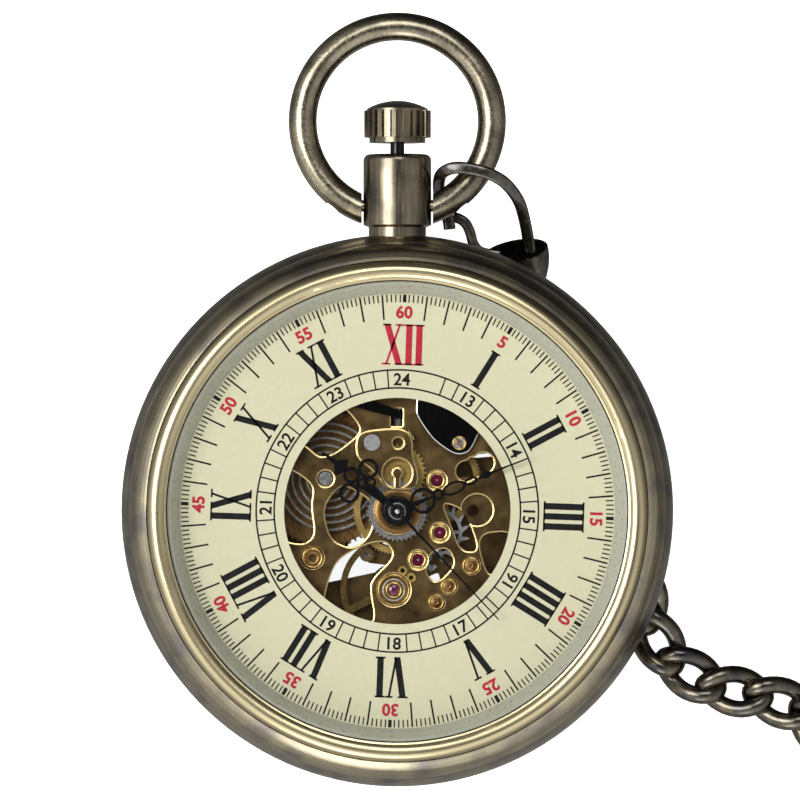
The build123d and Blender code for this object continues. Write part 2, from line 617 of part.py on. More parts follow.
# ---- motion works -------------------------------------------------------------------------------
def make_motion_works():
    """Cannon pinion, minute wheel, hour wheel and setting wheel, meshed, under their bridge."""
    to_minute = toward(CENTER, MINUTE)
    cannon = gear(CANNON_GEAR, KEYLESS[0], 8.93, CENTER, gap_angle(CANNON_GEAR, to_minute))
    cannon += disc(0.72, 8.93, 11.1)
    parts["cannon_pinion"] = cannon - disc(0.2, 8, 12)
    minute = gear(MINUTE_GEAR, *KEYLESS, MINUTE, to_minute + 180)
    minute += gear(MINUTE_PINION, KEYLESS[1], 9.22, MINUTE, gap_angle(MINUTE_PINION, to_minute + 180))
    parts["minute_wheel"] = minute - disc(0.25, 8, 10, MINUTE)
    hour = gear(HOUR_GEAR, 9.0, 9.2, CENTER, to_minute)
    hour += disc(1.85, 9.2, 9.3) + disc(1.02, 9.3, 10.58)
    parts["hour_wheel"] = hour - disc(0.72 + RUN, 8, 11)
    meet = toward(MINUTE, SETTING)
    teeth_past = MINUTE_GEAR[0] * (meet - to_minute - 180) / 360
    shift = (teeth_past - round(teeth_past)) * 360 / MINUTE_GEAR[0]
    setting_tooth = gap_angle(SETTING_GEAR, meet + 180) + shift * MINUTE_GEAR[0] / SETTING_GEAR[0]
    parts["setting_wheel"] = gear(SETTING_GEAR, *KEYLESS, SETTING, setting_tooth, 0.25)

    bridge = flowing_plate([
        (-3.6, 5.5), (-3.4, 6.5), (-2.5, 6.9), (0, 7.1), (0.9, 6.8), (1.37, 5.9), (1.3, 4.9), (1.86, 3.0),
        (1.65, 2.0), (0.9, 1.76), (-1.1, 1.9), (-1.8, 3.2), (-3.4, 4.4),
    ], *MINUTE_BRIDGE)
    bridge += disc(0.55, 8.6, MINUTE_BRIDGE[0], (0.75, 6.2))
    window = ring(1.24, 0.5, 9, 10, MINUTE) - box((-0.3, 0.3), (1.5, 3.2), (9, 10))
    bridge -= window
    bridge -= disc(0.45, 8.9, 10, (0.07, 5.78))
    bridge -= box((-5, 5), (-5, 1.9), (9, 10)) & disc(1.3, 9, 10)
    parts["minute_bridge"] = bridge
    dial_screws.append(slotted_screw(SETTING, 9.6, 9.8, 0.7))
    for x, y, radius in PLATE_SCREWS[:3]:
        dial_screws.append(slotted_screw((x, y), 8.3, 8.68, radius))
    posts = [disc(0.22, 8.1, 9.3, MINUTE), disc(0.22, 8.1, 9.3, SETTING)]
    posts.append(ring(0.9, 0.35, 8.25, 8.7, NUT))
    posts += [ring(0.4, 0.19, 8.6, 8.72, at) for at in BANKING_POSTS]
    parts["plate_posts"] = Compound(children=posts)


# ---- winding and setting -------------------------------------------------------------------------
def make_keyless():
    """Winding wheels on the back, and the pinion, clutch, lever, yoke and bridge round the stem."""
    parts["ratchet_wheel"] = gear(RATCHET_GEAR, *WINDING, BARREL, 0, 0.60)
    meet = toward(CROWN_WHEEL, BARREL)
    phase = (meet + 180) * RATCHET_GEAR[0] / 360
    shift = (phase - round(phase)) * 360 / CROWN_GEAR[0]
    crown_tooth = gap_angle(CROWN_GEAR, meet) + shift
    parts["crown_wheel"] = gear(CROWN_GEAR, *WINDING, CROWN_WHEEL, crown_tooth, 1.2)
    hub = disc(1.17, 4.45, 4.98, CROWN_WHEEL) + disc(0.48, 4.35, 5.2, CROWN_WHEEL)
    bridge_screws.append(hub)
    parts["bridge_screws"] = Compound(children=bridge_screws)

    pinion = Pos(0, 0, 9.3) * extrude(pinion_face(13, 1.2, 0.3), 1.1, dir=(0, 0, 1))
    pinion -= Pos(0, 0, 10) * Cylinder(STEM_R + 0.04, 3)
    parts["winding_pinion"] = along_stem(pinion)
    clutch = Pos(0, 0, 8.0) * Cylinder(0.95, 1.8)
    clutch -= Pos(0, 0, 8.1) * (Cylinder(2, 0.5) - Cylinder(0.68, 0.5))
    clutch -= Pos(0, 0, 8) * Box(0.78, 0.78, 3)
    for i in range(CLUTCH_TEETH):
        angle = i * 360 / CLUTCH_TEETH
        clutch -= Pos(*polar(0.95, angle), 7.1) * Rot(0, 0, angle) * Box(0.5, 0.28, 0.5)
    parts["sliding_clutch"] = along_stem(clutch)

    low, high = KEYLESS
    lever = box((-0.3, 4.0), (11.65, 12.35), (low, high)) + disc(0.7, low, high, LEVER_PIVOT)
    lever += disc(0.22, 6.62, high, (0, 12.15))
    parts["setting_lever"] = lever + disc(0.38, 8.15, low, LEVER_PIVOT)
    yoke = plate([(-4.2, 10.1), (0.35, 8.5), (0.35, 7.8), (-3.8, 8.9)], low, high)
    yoke += disc(0.7, low, high, YOKE_PIVOT) + disc(0.2, 6.95, low, (0, 8.1))
    parts["yoke"] = yoke + disc(0.38, 8.15, low, YOKE_PIVOT)
    cover = flowing_plate([
        (1.5, 8.6), (1.9, 7.7), (2.8, 6.4), (3.4, 5.8), (4.7, 4.9), (5.5, 4.8), (6.2, 5.1), (6.9, 6.5),
        (8.2, 9.5), (6.8, 12.9), (2.2, 12.9),
    ], *SETTING_BRIDGE)
    low, high = SETTING_BRIDGE
    for at in COVER_SCREWS:
        cover -= disc(0.34, low - 1, high + 1, at)
        dial_screws.append(slotted_screw(at, high, high + 0.2, 0.56) + disc(0.32, low, high, at))
    parts["setting_bridge"] = cover


def pinion_face(teeth, tip, depth):
    """Face with flat-topped teeth, depth deep."""
    corners = []
    for i in range(teeth):
        for radius, side in ((tip - depth, -0.3), (tip, -0.18), (tip, 0.18), (tip - depth, 0.3)):
            corners.append(polar(radius, (i + side) * 360 / teeth))
    return Polygon(*corners, align=None)


def make_movement_ring():
    """Ring that holds the movement and carries the dial's feet, with the three case screws."""
    body = turned((15.55, 7.6), (17.0, 7.6), (17.0, 5.6), (19.2, 5.6), (19.2, 9.78), (14.8, 9.78),
                  (14.8, 8.65), (15.55, 8.65))
    body -= box((-0.9, 0.9), (14, 20), (5, 7.1))
    for foot in DIAL_FEET:
        body -= disc(0.42, 8.85, 10, polar(*foot))
    for spot in CASE_SCREWS:
        at = polar(*spot)
        body -= disc(0.35, 7, 8.5, at)
        dial_screws.append(slotted_screw(at, 7.2, 7.6, 0.62, False) + disc(0.35, 7.6, 8.4, at))
    parts["movement_ring"] = body
    parts["case_and_dial_screws"] = Compound(children=dial_screws)


# ---- clasp and chain --------------------------------------------------------------------------------
def section(x, y, z, heading, rise, wide, tall):
    """Ellipse across the clasp's axis."""
    axis = Vector(cos(radians(heading)) * cos(radians(rise)), sin(radians(heading)) * cos(radians(rise)),
                  sin(radians(rise)))
    across = Vector(-sin(radians(heading)), cos(radians(heading)), 0)
    return Plane(origin=(x, y, z), x_dir=across, z_dir=axis) * Ellipse(wide, tall)


def make_clasp():
    """Cup of the clasp, its hook through the bow, the sprung gate and the ring to the chain."""
    heading = 102
    shell = loft([
        section(10.1, 22.2, 2.6, heading, 35, 2.9, 1.8),
        section(10.4, 21.0, 1.95, heading, 25, 2.75, 1.6),
        section(10.8, 19.6, 1.5, heading, 10, 2.1, 1.3),
        section(11.2, 18.0, 1.25, heading, 0, 1.0, 0.95),
    ])
    hollow = loft([
        section(10.02, 22.6, 2.9, heading, 35, 2.65, 1.6),
        section(10.4, 21.0, 1.95, heading, 25, 2.45, 1.3),
        section(10.75, 19.9, 1.6, heading, 10, 1.9, 1.0),
    ])
    tail = Plane(origin=(11.2, 18.0, 1.25), z_dir=(-0.2079, 0.97815, 0)) * Cylinder(0.45, 0.5)
    parts["clasp_cup"] = shell - hollow + tail
    hook = wire([(11.2, 20.9, 2.0), (11.9, 22.6, 3.6), (11.2, 25.4, 5.9), (9.6, 28.4, 8.1),
                 (6.6, 29.5, 8.5), (4.0, 29.2, 8.2), (3.45, 28.1, 5.6), (3.7, 26.7, 4.0),
                 (4.35, 24.9, 3.9)], 0.5, 0.5)
    parts["clasp_hook"] = hook
    gate = wire([(4.6, 24.0, 3.5), (5.8, 24.1, 3.3), (7.1, 23.2, 2.8), (8.9, 21.9, 2.4)], 0.38, 0.6)
    parts["clasp_gate"] = gate + disc(0.55, 2.0, 2.8, (8.9, 21.9))
    parts["clasp_ring"] = Pos(11.85, 16.45, CHAIN_Z) * Torus(0.95, 0.4)


def make_chain():
    """Run of the chain round the case, its spare length as one coil, and the bar at its end."""
    coil = ring(COIL_OUTER, COIL_INNER, CHAIN_Z - CHAIN_R, CHAIN_Z + CHAIN_R, COIL_AT)
    route = sweep_route(CHAIN_ROUTE, CHAIN_R)
    parts["chain_coil"] = coil
    parts["chain_run"] = route - coil - parts["clasp_ring"]
    x, y = COIL_AT
    bar = Pos(x, y, BAR_Z) * Rot(0, 90, 0) * Cylinder(1.0, BAR_LENGTH)
    for end in (-BAR_LENGTH / 2, BAR_LENGTH / 2):
        bar += Pos(x + end, y, BAR_Z + 0.05) * Sphere(1.3)
    parts["chain_bar"] = bar + Pos(x, y - 2.2, BAR_Z) * Torus(1.5, 0.45)


def sweep_route(points, radius):
    """Round tube on straight runs, each joined to the next by as wide an arc as fits."""
    corners = [Vector(*p) for p in points]
    edges = []
    at = corners[0]
    for before, corner, after in zip(corners, corners[1:], corners[2:]):
        inward = (corner - before).normalized()
        outward = (after - corner).normalized()
        reach = 0.45 * min((corner - before).length, (after - corner).length)
        start = corner - inward * reach
        edges.append(Line(at, start))
        end = corner + outward * reach
        edges.append(RadiusArc(start, end, arc_radius(inward, outward, reach)))
        at = end
    edges.append(Line(at, corners[-1]))
    path = Wire(edges)
    return sweep(Plane(origin=path @ 0, z_dir=path % 0) * Circle(radius), path=path)


def arc_radius(inward, outward, reach):
    """Radius of the arc tangent to two flat runs; its sign gives the side that it bends to."""
    turn = radians(inward.get_angle(outward))
    left = inward.cross(outward).Z > 0
    radius = reach / ((1 - cos(turn)) / sin(turn))
    return -radius if left else radius


parts = {}
bridge_screws = []
dial_screws = []
make_case()
make_crown()
make_bow()
make_dial()
make_hands()
make_main_plate()
make_bridges()
make_click()
make_cocks()
make_jewels()
make_train()
make_escapement()
make_motion_works()
make_keyless()
make_movement_ring()
make_clasp()
make_chain()
os.makedirs("parts", exist_ok=True)
for name, shape in parts.items():
    export_step(shape, f"parts/{name}.step")
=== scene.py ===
"""Looks of the open-dial pocket watch: materials, dial print, clasp, chain links, studio."""
from math import copysign, cos, pi, radians, sin

import json

import bmesh
import bpy
from mathutils import Matrix, Vector


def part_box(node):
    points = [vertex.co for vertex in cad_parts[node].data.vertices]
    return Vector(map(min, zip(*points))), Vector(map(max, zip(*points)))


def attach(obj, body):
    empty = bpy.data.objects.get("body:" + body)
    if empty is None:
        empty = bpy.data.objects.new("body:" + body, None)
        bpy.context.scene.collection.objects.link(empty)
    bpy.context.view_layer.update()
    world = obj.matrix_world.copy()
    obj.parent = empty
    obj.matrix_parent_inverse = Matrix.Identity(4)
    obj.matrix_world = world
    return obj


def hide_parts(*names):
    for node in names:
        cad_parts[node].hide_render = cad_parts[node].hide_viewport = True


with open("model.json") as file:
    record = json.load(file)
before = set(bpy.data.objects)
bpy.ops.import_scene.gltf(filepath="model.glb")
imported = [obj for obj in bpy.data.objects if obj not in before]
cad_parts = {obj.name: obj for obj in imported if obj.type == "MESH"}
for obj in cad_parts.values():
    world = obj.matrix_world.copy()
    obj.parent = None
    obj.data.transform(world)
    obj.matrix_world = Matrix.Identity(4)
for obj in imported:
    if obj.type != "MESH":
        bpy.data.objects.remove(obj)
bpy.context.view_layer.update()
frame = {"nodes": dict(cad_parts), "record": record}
MM = 0.001

# ---- sizes, millimetres, and angles, degrees ---------------------------------------------------
DIAL_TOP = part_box("dial")[1][2] / MM
DIAL_TURN = -2.0  # the dial sits slightly turned in its case
PRINT_LIFT = 0.012
DIAL_EDGE_LINE = 18.62
MINUTE_TRACK = (17.75, 18.4)
LONG_TICK_FROM = 16.3
FIVE_MINUTE_R = 16.95
ROMAN_R = 14.15
ROMAN_HEIGHT = 3.47
STEM = 0.54
THIN = 0.19
SERIF = 0.15
ADVANCE = {"I": 0.86, "V": 1.95, "X": 1.85}
HOUR_RING = (10.47, 12.0)
HOUR_RING_MIDDLE = 11.23
FINE_LINE = 0.12
NUMERAL_HEIGHT = 1.05

PLATE_TOP = 8.6
JEWEL_CUP_R = 0.57
JEWEL_CUPS = [(3.37, 2.6), (3.61, -1.85), (1.76, -4.18)]
SCREW_CUPS = [  # place, radius and height of each
    (6.29, -4.66, 0.70, PLATE_TOP), (4.38, -6.42, 0.63, PLATE_TOP), (3.33, -7.79, 0.63, PLATE_TOP),
    (5.29, 5.78, 0.56, 9.25),
]
NUT = (-7.23, -4.0)
BALANCE = (-0.3, -6.74)
CENTER = (0, 0)
HAND_HUBS = [("hour", 1.18, 10.58), ("minute", 0.86, 11.03), ("seconds", 0.55, 11.42)]  # body, radius, top

HOOK_ROUTE = [
    (11.6, 20.6, 2.0), (11.4, 22.4, 3.4), (10.9, 25.0, 5.6), (10.3, 26.8, 7.4), (8.6, 28.6, 8.5),
    (5.2, 29.4, 8.6), (3.75, 28.9, 7.9), (3.5, 28.0, 5.5), (3.65, 26.8, 3.7), (4.4, 25.2, 3.6),
    (4.5, 24.1, 3.6),
]
GATE_ROUTE = [
    (4.8, 25.2, 2.7), (5.7, 25.0, 2.7), (6.3, 23.9, 2.6), (6.5, 22.8, 2.5), (7.3, 22.0, 2.4),
    (8.9, 21.9, 2.4),
]

LINK_LONG = 2.75  # chain link's centreline, half its length
LINK_WIDE = 1.5  # and half its width
LINK_WIRE = 0.75
LINK_PITCH = 4.1
LINK_TWIST = radians(-45)
LINK_LEAN = radians(8)
CHAIN_START = 2.4  # first link's middle, along the chain
CHAIN_Z = 1.45
CHAIN_ROUTE = [
    (12.6, 16.8), (17.0, 12.8), (20.0, 7.0), (21.2, 1.2), (20.8, -4.0), (21.2, -8.8),
    (23.2, -12.9), (27.2, -15.4), (32.4, -16.2), (36.6, -18.4), (39.2, -24.5),
]
COIL_AT = (62.5, -19.0)
COIL_START_R = 24.2
COIL_PITCH = 4.5  # how much the coil's radius shrinks in a turn
COIL_FROM = 193.3  # where the run meets the coil
COIL_STEP = 24
COIL_STEPS = 31
CHAIN_END = [(-8.5, -12.6), (-2.2, -9.4), (-0.2, -5.2)]  # last stretch, from the coil's middle
SLACK = 1e-7  # metres, so that rounding doesn't drop the last link

# ---- studio, metres ------------------------------------------------------------------------------
FLOOR_REACH = 3.0
CAMERA_AT = (0.00023, 0.00944)
CAMERA_HEIGHT = 0.6
VIEW_WIDTH = 0.068  # what the picture spans at the dial
SENSOR = 36
LIGHTS = [  # name, place, size and power
    ("key", (-0.35, 0.1, 0.55), 0.35, 2.5),
    ("top", (0.05, 0.35, 0.6), 0.30, 1.0),
    ("low", (-0.1, -0.5, 0.3), 0.25, 0.6),
]
SKY = [  # level from straight down (0) to straight up (1), and its brightness
    (0.0, 0.3), (0.5, 0.4), (0.63, 0.85), (0.9, 1.0), (0.955, 0.85), (0.985, 0.16), (1.0, 0.12),
]


# ---- node helpers ---------------------------------------------------------------------------
def new_material(name):
    material = bpy.data.materials.new(name)
    material.use_nodes = True
    nodes = material.node_tree.nodes
    nodes.clear()
    output = nodes.new("ShaderNodeOutputMaterial")
    shader = nodes.new("ShaderNodeBsdfPrincipled")
    material.node_tree.links.new(shader.outputs[0], output.inputs[0])
    return material, material.node_tree, shader


def math_node(tree, operation, a, b=0.0):
    node = tree.nodes.new("ShaderNodeMath")
    node.operation = operation
    for socket, value in zip(node.inputs, (a, b)):
        if isinstance(value, (int, float)):
            socket.default_value = value
        else:
            tree.links.new(value, socket)
    return node.outputs[0]


def coordinates(tree, brush, scale):
    """Texture coordinates: round the watch's axis, along one axis, or even."""
    source = tree.nodes.new("ShaderNodeTexCoord").outputs["Object"]
    if brush == "even":
        vector = tree.nodes.new("ShaderNodeVectorMath")
        vector.operation = "SCALE"
        vector.inputs["Scale"].default_value = scale
        tree.links.new(source, vector.inputs[0])
        return vector.outputs[0]
    x, y, z = split(tree, source)
    if brush == "round":
        angle = math_node(tree, "ARCTAN2", y, x)
        parts = (
            math_node(tree, "MULTIPLY", hypotenuse(tree, x, y), scale),
            math_node(tree, "MULTIPLY", z, scale),
            math_node(tree, "MULTIPLY", angle, 1.2),
        )
    else:
        stretch = {"x": (0.04, 1, 1), "y": (1, 0.04, 1)}[brush]
        parts = [math_node(tree, "MULTIPLY", part, scale * k) for part, k in zip((x, y, z), stretch)]
    join = tree.nodes.new("ShaderNodeCombineXYZ")
    for part, socket in zip(parts, join.inputs):
        tree.links.new(part, socket)
    return join.outputs[0]


def split(tree, vector):
    node = tree.nodes.new("ShaderNodeSeparateXYZ")
    tree.links.new(vector, node.inputs[0])
    return node.outputs


def hypotenuse(tree, x, y):
    squares = [math_node(tree, "MULTIPLY", side, side) for side in (x, y)]
    return math_node(tree, "SQRT", math_node(tree, "ADD", *squares))


def noise(tree, vector, detail):
    """Even noise, nearly all of it between 0.3 and 0.7."""
    node = tree.nodes.new("ShaderNodeTexNoise")
    node.inputs["Scale"].default_value = 1.0
    node.inputs["Detail"].default_value = detail
    tree.links.new(vector, node.inputs["Vector"])
    return node.outputs[0]


def ramp(tree, value, stops):
    """Colours at places along a value from 0 to 1."""
    node = tree.nodes.new("ShaderNodeValToRGB")
    elements = node.color_ramp.elements
    while len(elements) < len(stops):
        elements.new(0.5)
    for element, (place, colour) in zip(elements, stops):
        element.position = place
        element.color = (*colour, 1)
    tree.links.new(value, node.inputs[0])
    return node.outputs[0]


def spread(tree, value, low, high, source=(0.3, 0.7)):
    """Value taken from the source's range to the one from low to high, held at both ends."""
    node = tree.nodes.new("ShaderNodeMapRange")
    node.inputs["From Min"].default_value, node.inputs["From Max"].default_value = source
    node.inputs["To Min"].default_value, node.inputs["To Max"].default_value = low, high
    tree.links.new(value, node.inputs[0])
    return node.outputs[0]


def flat(tree, colour):
    node = tree.nodes.new("ShaderNodeRGB")
    node.outputs[0].default_value = (*colour, 1)
    return node.outputs[0]


def mixed(tree, factor, a, b):
    node = tree.nodes.new("ShaderNodeMix")
    node.data_type = "RGBA"
    tree.links.new(factor, node.inputs[0])
    tree.links.new(a, node.inputs[6])
    tree.links.new(b, node.inputs[7])
    return node.outputs[2]


def bumped(tree, shader, value, depth):
    """Give a shader relief from a value, depth in millimetres."""
    bump = tree.nodes.new("ShaderNodeBump")
    bump.inputs["Strength"].default_value = 0.6
    bump.inputs["Distance"].default_value = depth * MM
    tree.links.new(value, bump.inputs["Height"])
    tree.links.new(bump.outputs[0], shader.inputs["Normal"])


def metal(name, light, dark, rough=(0.22, 0.4), brush="even", fine=4000, patina=None, depth=0.02,
          inner=None):
    """Worn metal: brushing, a patina in patches, and another tone inside a radius."""
    material, tree, shader = new_material(name)
    shader.inputs["Metallic"].default_value = 1.0
    strokes = noise(tree, coordinates(tree, brush, fine), 6.0)
    colour = ramp(tree, strokes, [(0.3, dark), (0.7, light)])
    if patina:
        patches = noise(tree, coordinates(tree, "even", 350), 3.0)
        patchy = spread(tree, patches, 0.0, 0.75, (0.42, 0.68))
        colour = mixed(tree, patchy, colour, flat(tree, patina))
    # another tone inside a radius; on the bezel it is partly the ring's own gold and partly a painted
    # highlight
    if inner:
        radius, inner_light, inner_dark = inner
        x, y, _ = split(tree, tree.nodes.new("ShaderNodeTexCoord").outputs["Object"])
        border = ((radius - 0.03) * MM, (radius + 0.03) * MM)
        inside = spread(tree, hypotenuse(tree, x, y), 1.0, 0.0, border)
        colour = mixed(tree, inside, colour, ramp(tree, strokes, [(0.3, inner_dark), (0.7, inner_light)]))
    tree.links.new(colour, shader.inputs["Base Color"])
    tree.links.new(spread(tree, strokes, *rough), shader.inputs["Roughness"])
    if depth:
        bumped(tree, shader, strokes, depth)
    return material


def lacquer(name, light, dark, rough=(0.3, 0.42), fine=2500, depth=0.004, shine=0.5):
    """Painted or printed surface with a slight grain."""
    material, tree, shader = new_material(name)
    shader.inputs["Specular IOR Level"].default_value = shine
    grain = noise(tree, coordinates(tree, "even", fine), 4.0)
    tree.links.new(ramp(tree, grain, [(0.3, dark), (0.7, light)]), shader.inputs["Base Color"])
    tree.links.new(spread(tree, grain, *rough), shader.inputs["Roughness"])
    bumped(tree, shader, grain, depth)
    return material


def clear_glass(name):
    """Thin clear crystal: see-through, with reflections that grow at the edge."""
    material = bpy.data.materials.new(name)
    material.use_nodes = True
    tree = material.node_tree
    tree.nodes.clear()
    output = tree.nodes.new("ShaderNodeOutputMaterial")
    mix = tree.nodes.new("ShaderNodeMixShader")
    through = tree.nodes.new("ShaderNodeBsdfTransparent")
    through.inputs[0].default_value = (0.985, 0.99, 0.99, 1)
    gloss = tree.nodes.new("ShaderNodeBsdfGlossy")
    smear = noise(tree, coordinates(tree, "even", 120), 4.0)
    tree.links.new(spread(tree, smear, 0.01, 0.05), gloss.inputs["Roughness"])
    fresnel = tree.nodes.new("ShaderNodeFresnel")
    fresnel.inputs[0].default_value = 1.38
    backfacing = tree.nodes.new("ShaderNodeNewGeometry").outputs["Backfacing"]
    outside = math_node(tree, "SUBTRACT", 1.0, backfacing)
    tree.links.new(math_node(tree, "MULTIPLY", fresnel.outputs[0], outside), mix.inputs[0])
    tree.links.new(through.outputs[0], mix.inputs[1])
    tree.links.new(gloss.outputs[0], mix.inputs[2])
    tree.links.new(mix.outputs[0], output.inputs[0])
    return material


def ruby(name):
    """Dark red stone, polished and a little see-through."""
    material, tree, shader = new_material(name)
    tint = noise(tree, coordinates(tree, "even", 1500), 3.0)
    tree.links.new(ramp(tree, tint, [(0.3, (0.11, 0.002, 0.03)), (0.7, (0.22, 0.005, 0.06))]),
                   shader.inputs["Base Color"])
    tree.links.new(spread(tree, tint, 0.05, 0.12), shader.inputs["Roughness"])
    shader.inputs["Transmission Weight"].default_value = 0.35
    shader.inputs["Coat Weight"].default_value = 1.0
    return material


# ---- materials by the record's slots -------------------------------------------------------------
LOOKS = {
    "case_bronze": metal(
        "case_bronze", (0.50, 0.44, 0.32), (0.29, 0.26, 0.205), (0.2, 0.34), "round", 5000,
        (0.135, 0.125, 0.145), 0.01,
    ),
    # inside 21.15 mm the gilt turns paler: partly the gold ring's own tone, partly a painted highlight on
    # its upward face
    "bezel_gilt": metal(
        "bezel_gilt", (0.56, 0.49, 0.33), (0.33, 0.29, 0.205), (0.2, 0.34), "round", 5000,
        (0.20, 0.18, 0.18), 0.01, (21.15, (0.72, 0.62, 0.37), (0.54, 0.46, 0.28)),
    ),
    "crystal_glass": clear_glass("crystal_glass"),
    "crown_bronze": metal(
        "crown_bronze", (0.36, 0.31, 0.22), (0.20, 0.17, 0.12), (0.2, 0.32), "y", 5000,
        (0.07, 0.065, 0.06), 0.006,
    ),
    "bow_bronze": metal(
        "bow_bronze", (0.46, 0.41, 0.29), (0.30, 0.265, 0.19), (0.18, 0.3), "even", 4000,
        (0.12, 0.105, 0.085), 0.005,
    ),
    "dial_cream": lacquer("dial_cream", (0.67, 0.635, 0.435), (0.64, 0.605, 0.41)),
    "reflector": lacquer("reflector", (0.46, 0.46, 0.38), (0.42, 0.42, 0.345), (0.25, 0.35)),
    "black_hand": lacquer(
        "black_hand", (0.006, 0.006, 0.007), (0.003, 0.003, 0.004), (0.12, 0.2), shine=0.3,
    ),
    "plate_bronze": metal(
        "plate_bronze", (0.235, 0.152, 0.06), (0.18, 0.115, 0.045), (0.26, 0.36), "even", 900,
        (0.10, 0.063, 0.03), 0.0,
    ),
    "gilt": metal("gilt", (0.72, 0.50, 0.19), (0.56, 0.37, 0.12), (0.14, 0.26), depth=0.003),
    "brass": metal(
        "brass", (0.66, 0.46, 0.15), (0.48, 0.32, 0.10), (0.3, 0.42), "round", 7000,
        (0.26, 0.16, 0.05), 0.003,
    ),
    "steel": metal(
        "steel", (0.58, 0.58, 0.58), (0.46, 0.46, 0.47), (0.28, 0.4), fine=7000, depth=0.002,
    ),
    "dark_steel": metal(
        "dark_steel", (0.035, 0.035, 0.038), (0.022, 0.022, 0.025), (0.1, 0.2), "y", 9000, depth=0.002,
    ),
    "ruby": ruby("ruby"),
    "ring_metal": metal(
        "ring_metal", (0.30, 0.28, 0.22), (0.22, 0.20, 0.16), (0.3, 0.45), "round", 5000,
    ),
    "blued_spring": metal("blued_spring", (0.10, 0.16, 0.42), (0.04, 0.06, 0.2), (0.16, 0.28)),
    "clasp_metal": metal(
        "clasp_metal", (0.21, 0.19, 0.145), (0.10, 0.095, 0.09), (0.16, 0.3), "even", 2000,
        (0.05, 0.05, 0.062), 0.004,
    ),
    "chain_metal": metal(
        "chain_metal", (0.24, 0.205, 0.135), (0.085, 0.08, 0.08), (0.16, 0.3), "even", 1200,
        (0.045, 0.047, 0.065), 0.006,
    ),
}
# paler copy of the gilt: a painted highlight for bevels and rims on darker metal
GILT_PAINTED_HIGHLIGHT = metal(
    "gilt_painted_highlight", (0.78, 0.58, 0.27), (0.62, 0.44, 0.19), (0.2, 0.3), fine=5000, depth=0.002,
)
# near-white copy of the steel: a painted highlight along the black setting bridge's bevels
STEEL_PAINTED_HIGHLIGHT = metal(
    "steel_painted_highlight", (0.80, 0.80, 0.79), (0.6, 0.6, 0.6), (0.16, 0.26), fine=5000, depth=0.002,
)
DARK_BRASS = metal(
    "dark_brass", (0.30, 0.17, 0.06), (0.19, 0.105, 0.04), (0.26, 0.4), "round", 7000, depth=0.002,
)
BARE_STEEL = metal(
    "spring_steel", (0.38, 0.37, 0.36), (0.20, 0.195, 0.19), (0.3, 0.42), fine=5000, depth=0.002,
)
OWN_LOOK = {  # nodes that don't look like the rest of their slot
    "stem": LOOKS["dark_steel"],
    "mainspring": BARE_STEEL,
    "mainspring_barrel": DARK_BRASS,
    "barrel_arbor": BARE_STEEL,
    "hour_wheel": BARE_STEEL,
    "case_and_dial_screws": LOOKS["steel"],
    "click": LOOKS["steel"],
}
BEVELLED = {
    "barrel_bridge": 0.12, "train_bridge": 0.12, "balance_cock": 0.12, "hour_hand": 0.04,
    "minute_hand": 0.04, "crown": 0.06, "bow": 0.12,
}


def dress_cad():
    """Give every CAD node its slot's material, and soften the edges that catch light."""
    slots = {row["node"]: row["material_slot"] for row in frame["record"]["subparts"]}
    for name, piece in frame["nodes"].items():
        piece.data.materials.clear()
        piece.data.materials.append(OWN_LOOK.get(name, LOOKS[slots[name]]))
        if name in BEVELLED:
            bevel = piece.modifiers.new("edge", "BEVEL")
            bevel.width = BEVELLED[name] * MM
            bevel.segments = 2
            bevel.limit_method = "ANGLE"
            bevel.angle_limit = radians(40)


def shown(name, mesh, material, body):
    """Put a finished mesh in the scene, on a body."""
    mesh.materials.append(material)
    made = bpy.data.objects.new(name, mesh)
    bpy.context.collection.objects.link(made)
    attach(made, body)
    return made


def bright_bevels(node, width, material):
    """Bevel along every edge of a plate's upper face, as a thin sloping ribbon; its pale metal is a
    painted highlight.
    """
    tiny = 1e-7
    foot, crest = Vector((0, 0, 0.004 * MM)), Vector((0, 0, 0.03 * MM))
    source = bmesh.new()
    source.from_mesh(frame["nodes"][node].data)
    bmesh.ops.remove_doubles(source, verts=source.verts, dist=tiny)
    source.normal_update()
    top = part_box(node)[1][2]
    points, faces = [], []
    for edge in source.edges:
        if len(edge.link_faces) != 2:
            continue
        flat = [f for f in edge.link_faces if f.normal.z > 0.95]
        if len(flat) != 1 or min(f.normal.z for f in edge.link_faces) > 0.5:
            continue
        a, b = (v.co for v in edge.verts)
        if b.z < top - 0.5 * MM or edge.calc_length() < tiny:
            continue
        along = (b - a).normalized()
        inward = flat[0].calc_center_median() - a
        inward = (inward - along * inward.dot(along)).normalized() * width * MM
        start = len(points)
        points += [a + foot, b + foot, b + inward + crest, a + inward + crest]
        faces.append((start, start + 1, start + 2, start + 3))
    # the ribbon carries the painted-highlight metal passed in
    mesh = bpy.data.meshes.new(node + "_bevel")
    mesh.from_pydata(points, [], faces)
    source.free()
    shown(node + "_bevel", mesh, material, "case")


def lathe(name, at, profile, material, body):
    """Ring turned from a profile of (radius, height) round an upright axis."""
    count = 48
    points, faces = [], []
    for i in range(count):
        a = 2 * pi * i / count
        for r, z in profile:
            points.append(((at[0] + r * cos(a)) * MM, (at[1] + r * sin(a)) * MM, z * MM))
    steps = len(profile)
    for i in range(count):
        here, following = i * steps, (i + 1) % count * steps
        for k in range(steps - 1):
            faces.append((here + k, following + k, following + k + 1, here + k + 1))
    mesh = bpy.data.meshes.new(name)
    mesh.from_pydata(points, [], faces)
    mesh.polygons.foreach_set("use_smooth", [True] * len(mesh.polygons))
    shown(name, mesh, material, body)


def rounded(outer, inner, low, high):
    """Profile of a rounded ring, from its outer foot over the top to its inner foot."""
    middle, reach = (outer + inner) / 2, (outer - inner) / 2
    angles = [step * pi / 8 for step in range(9)]
    return [(middle + reach * cos(a), low + (high - low) * sin(a)) for a in angles]


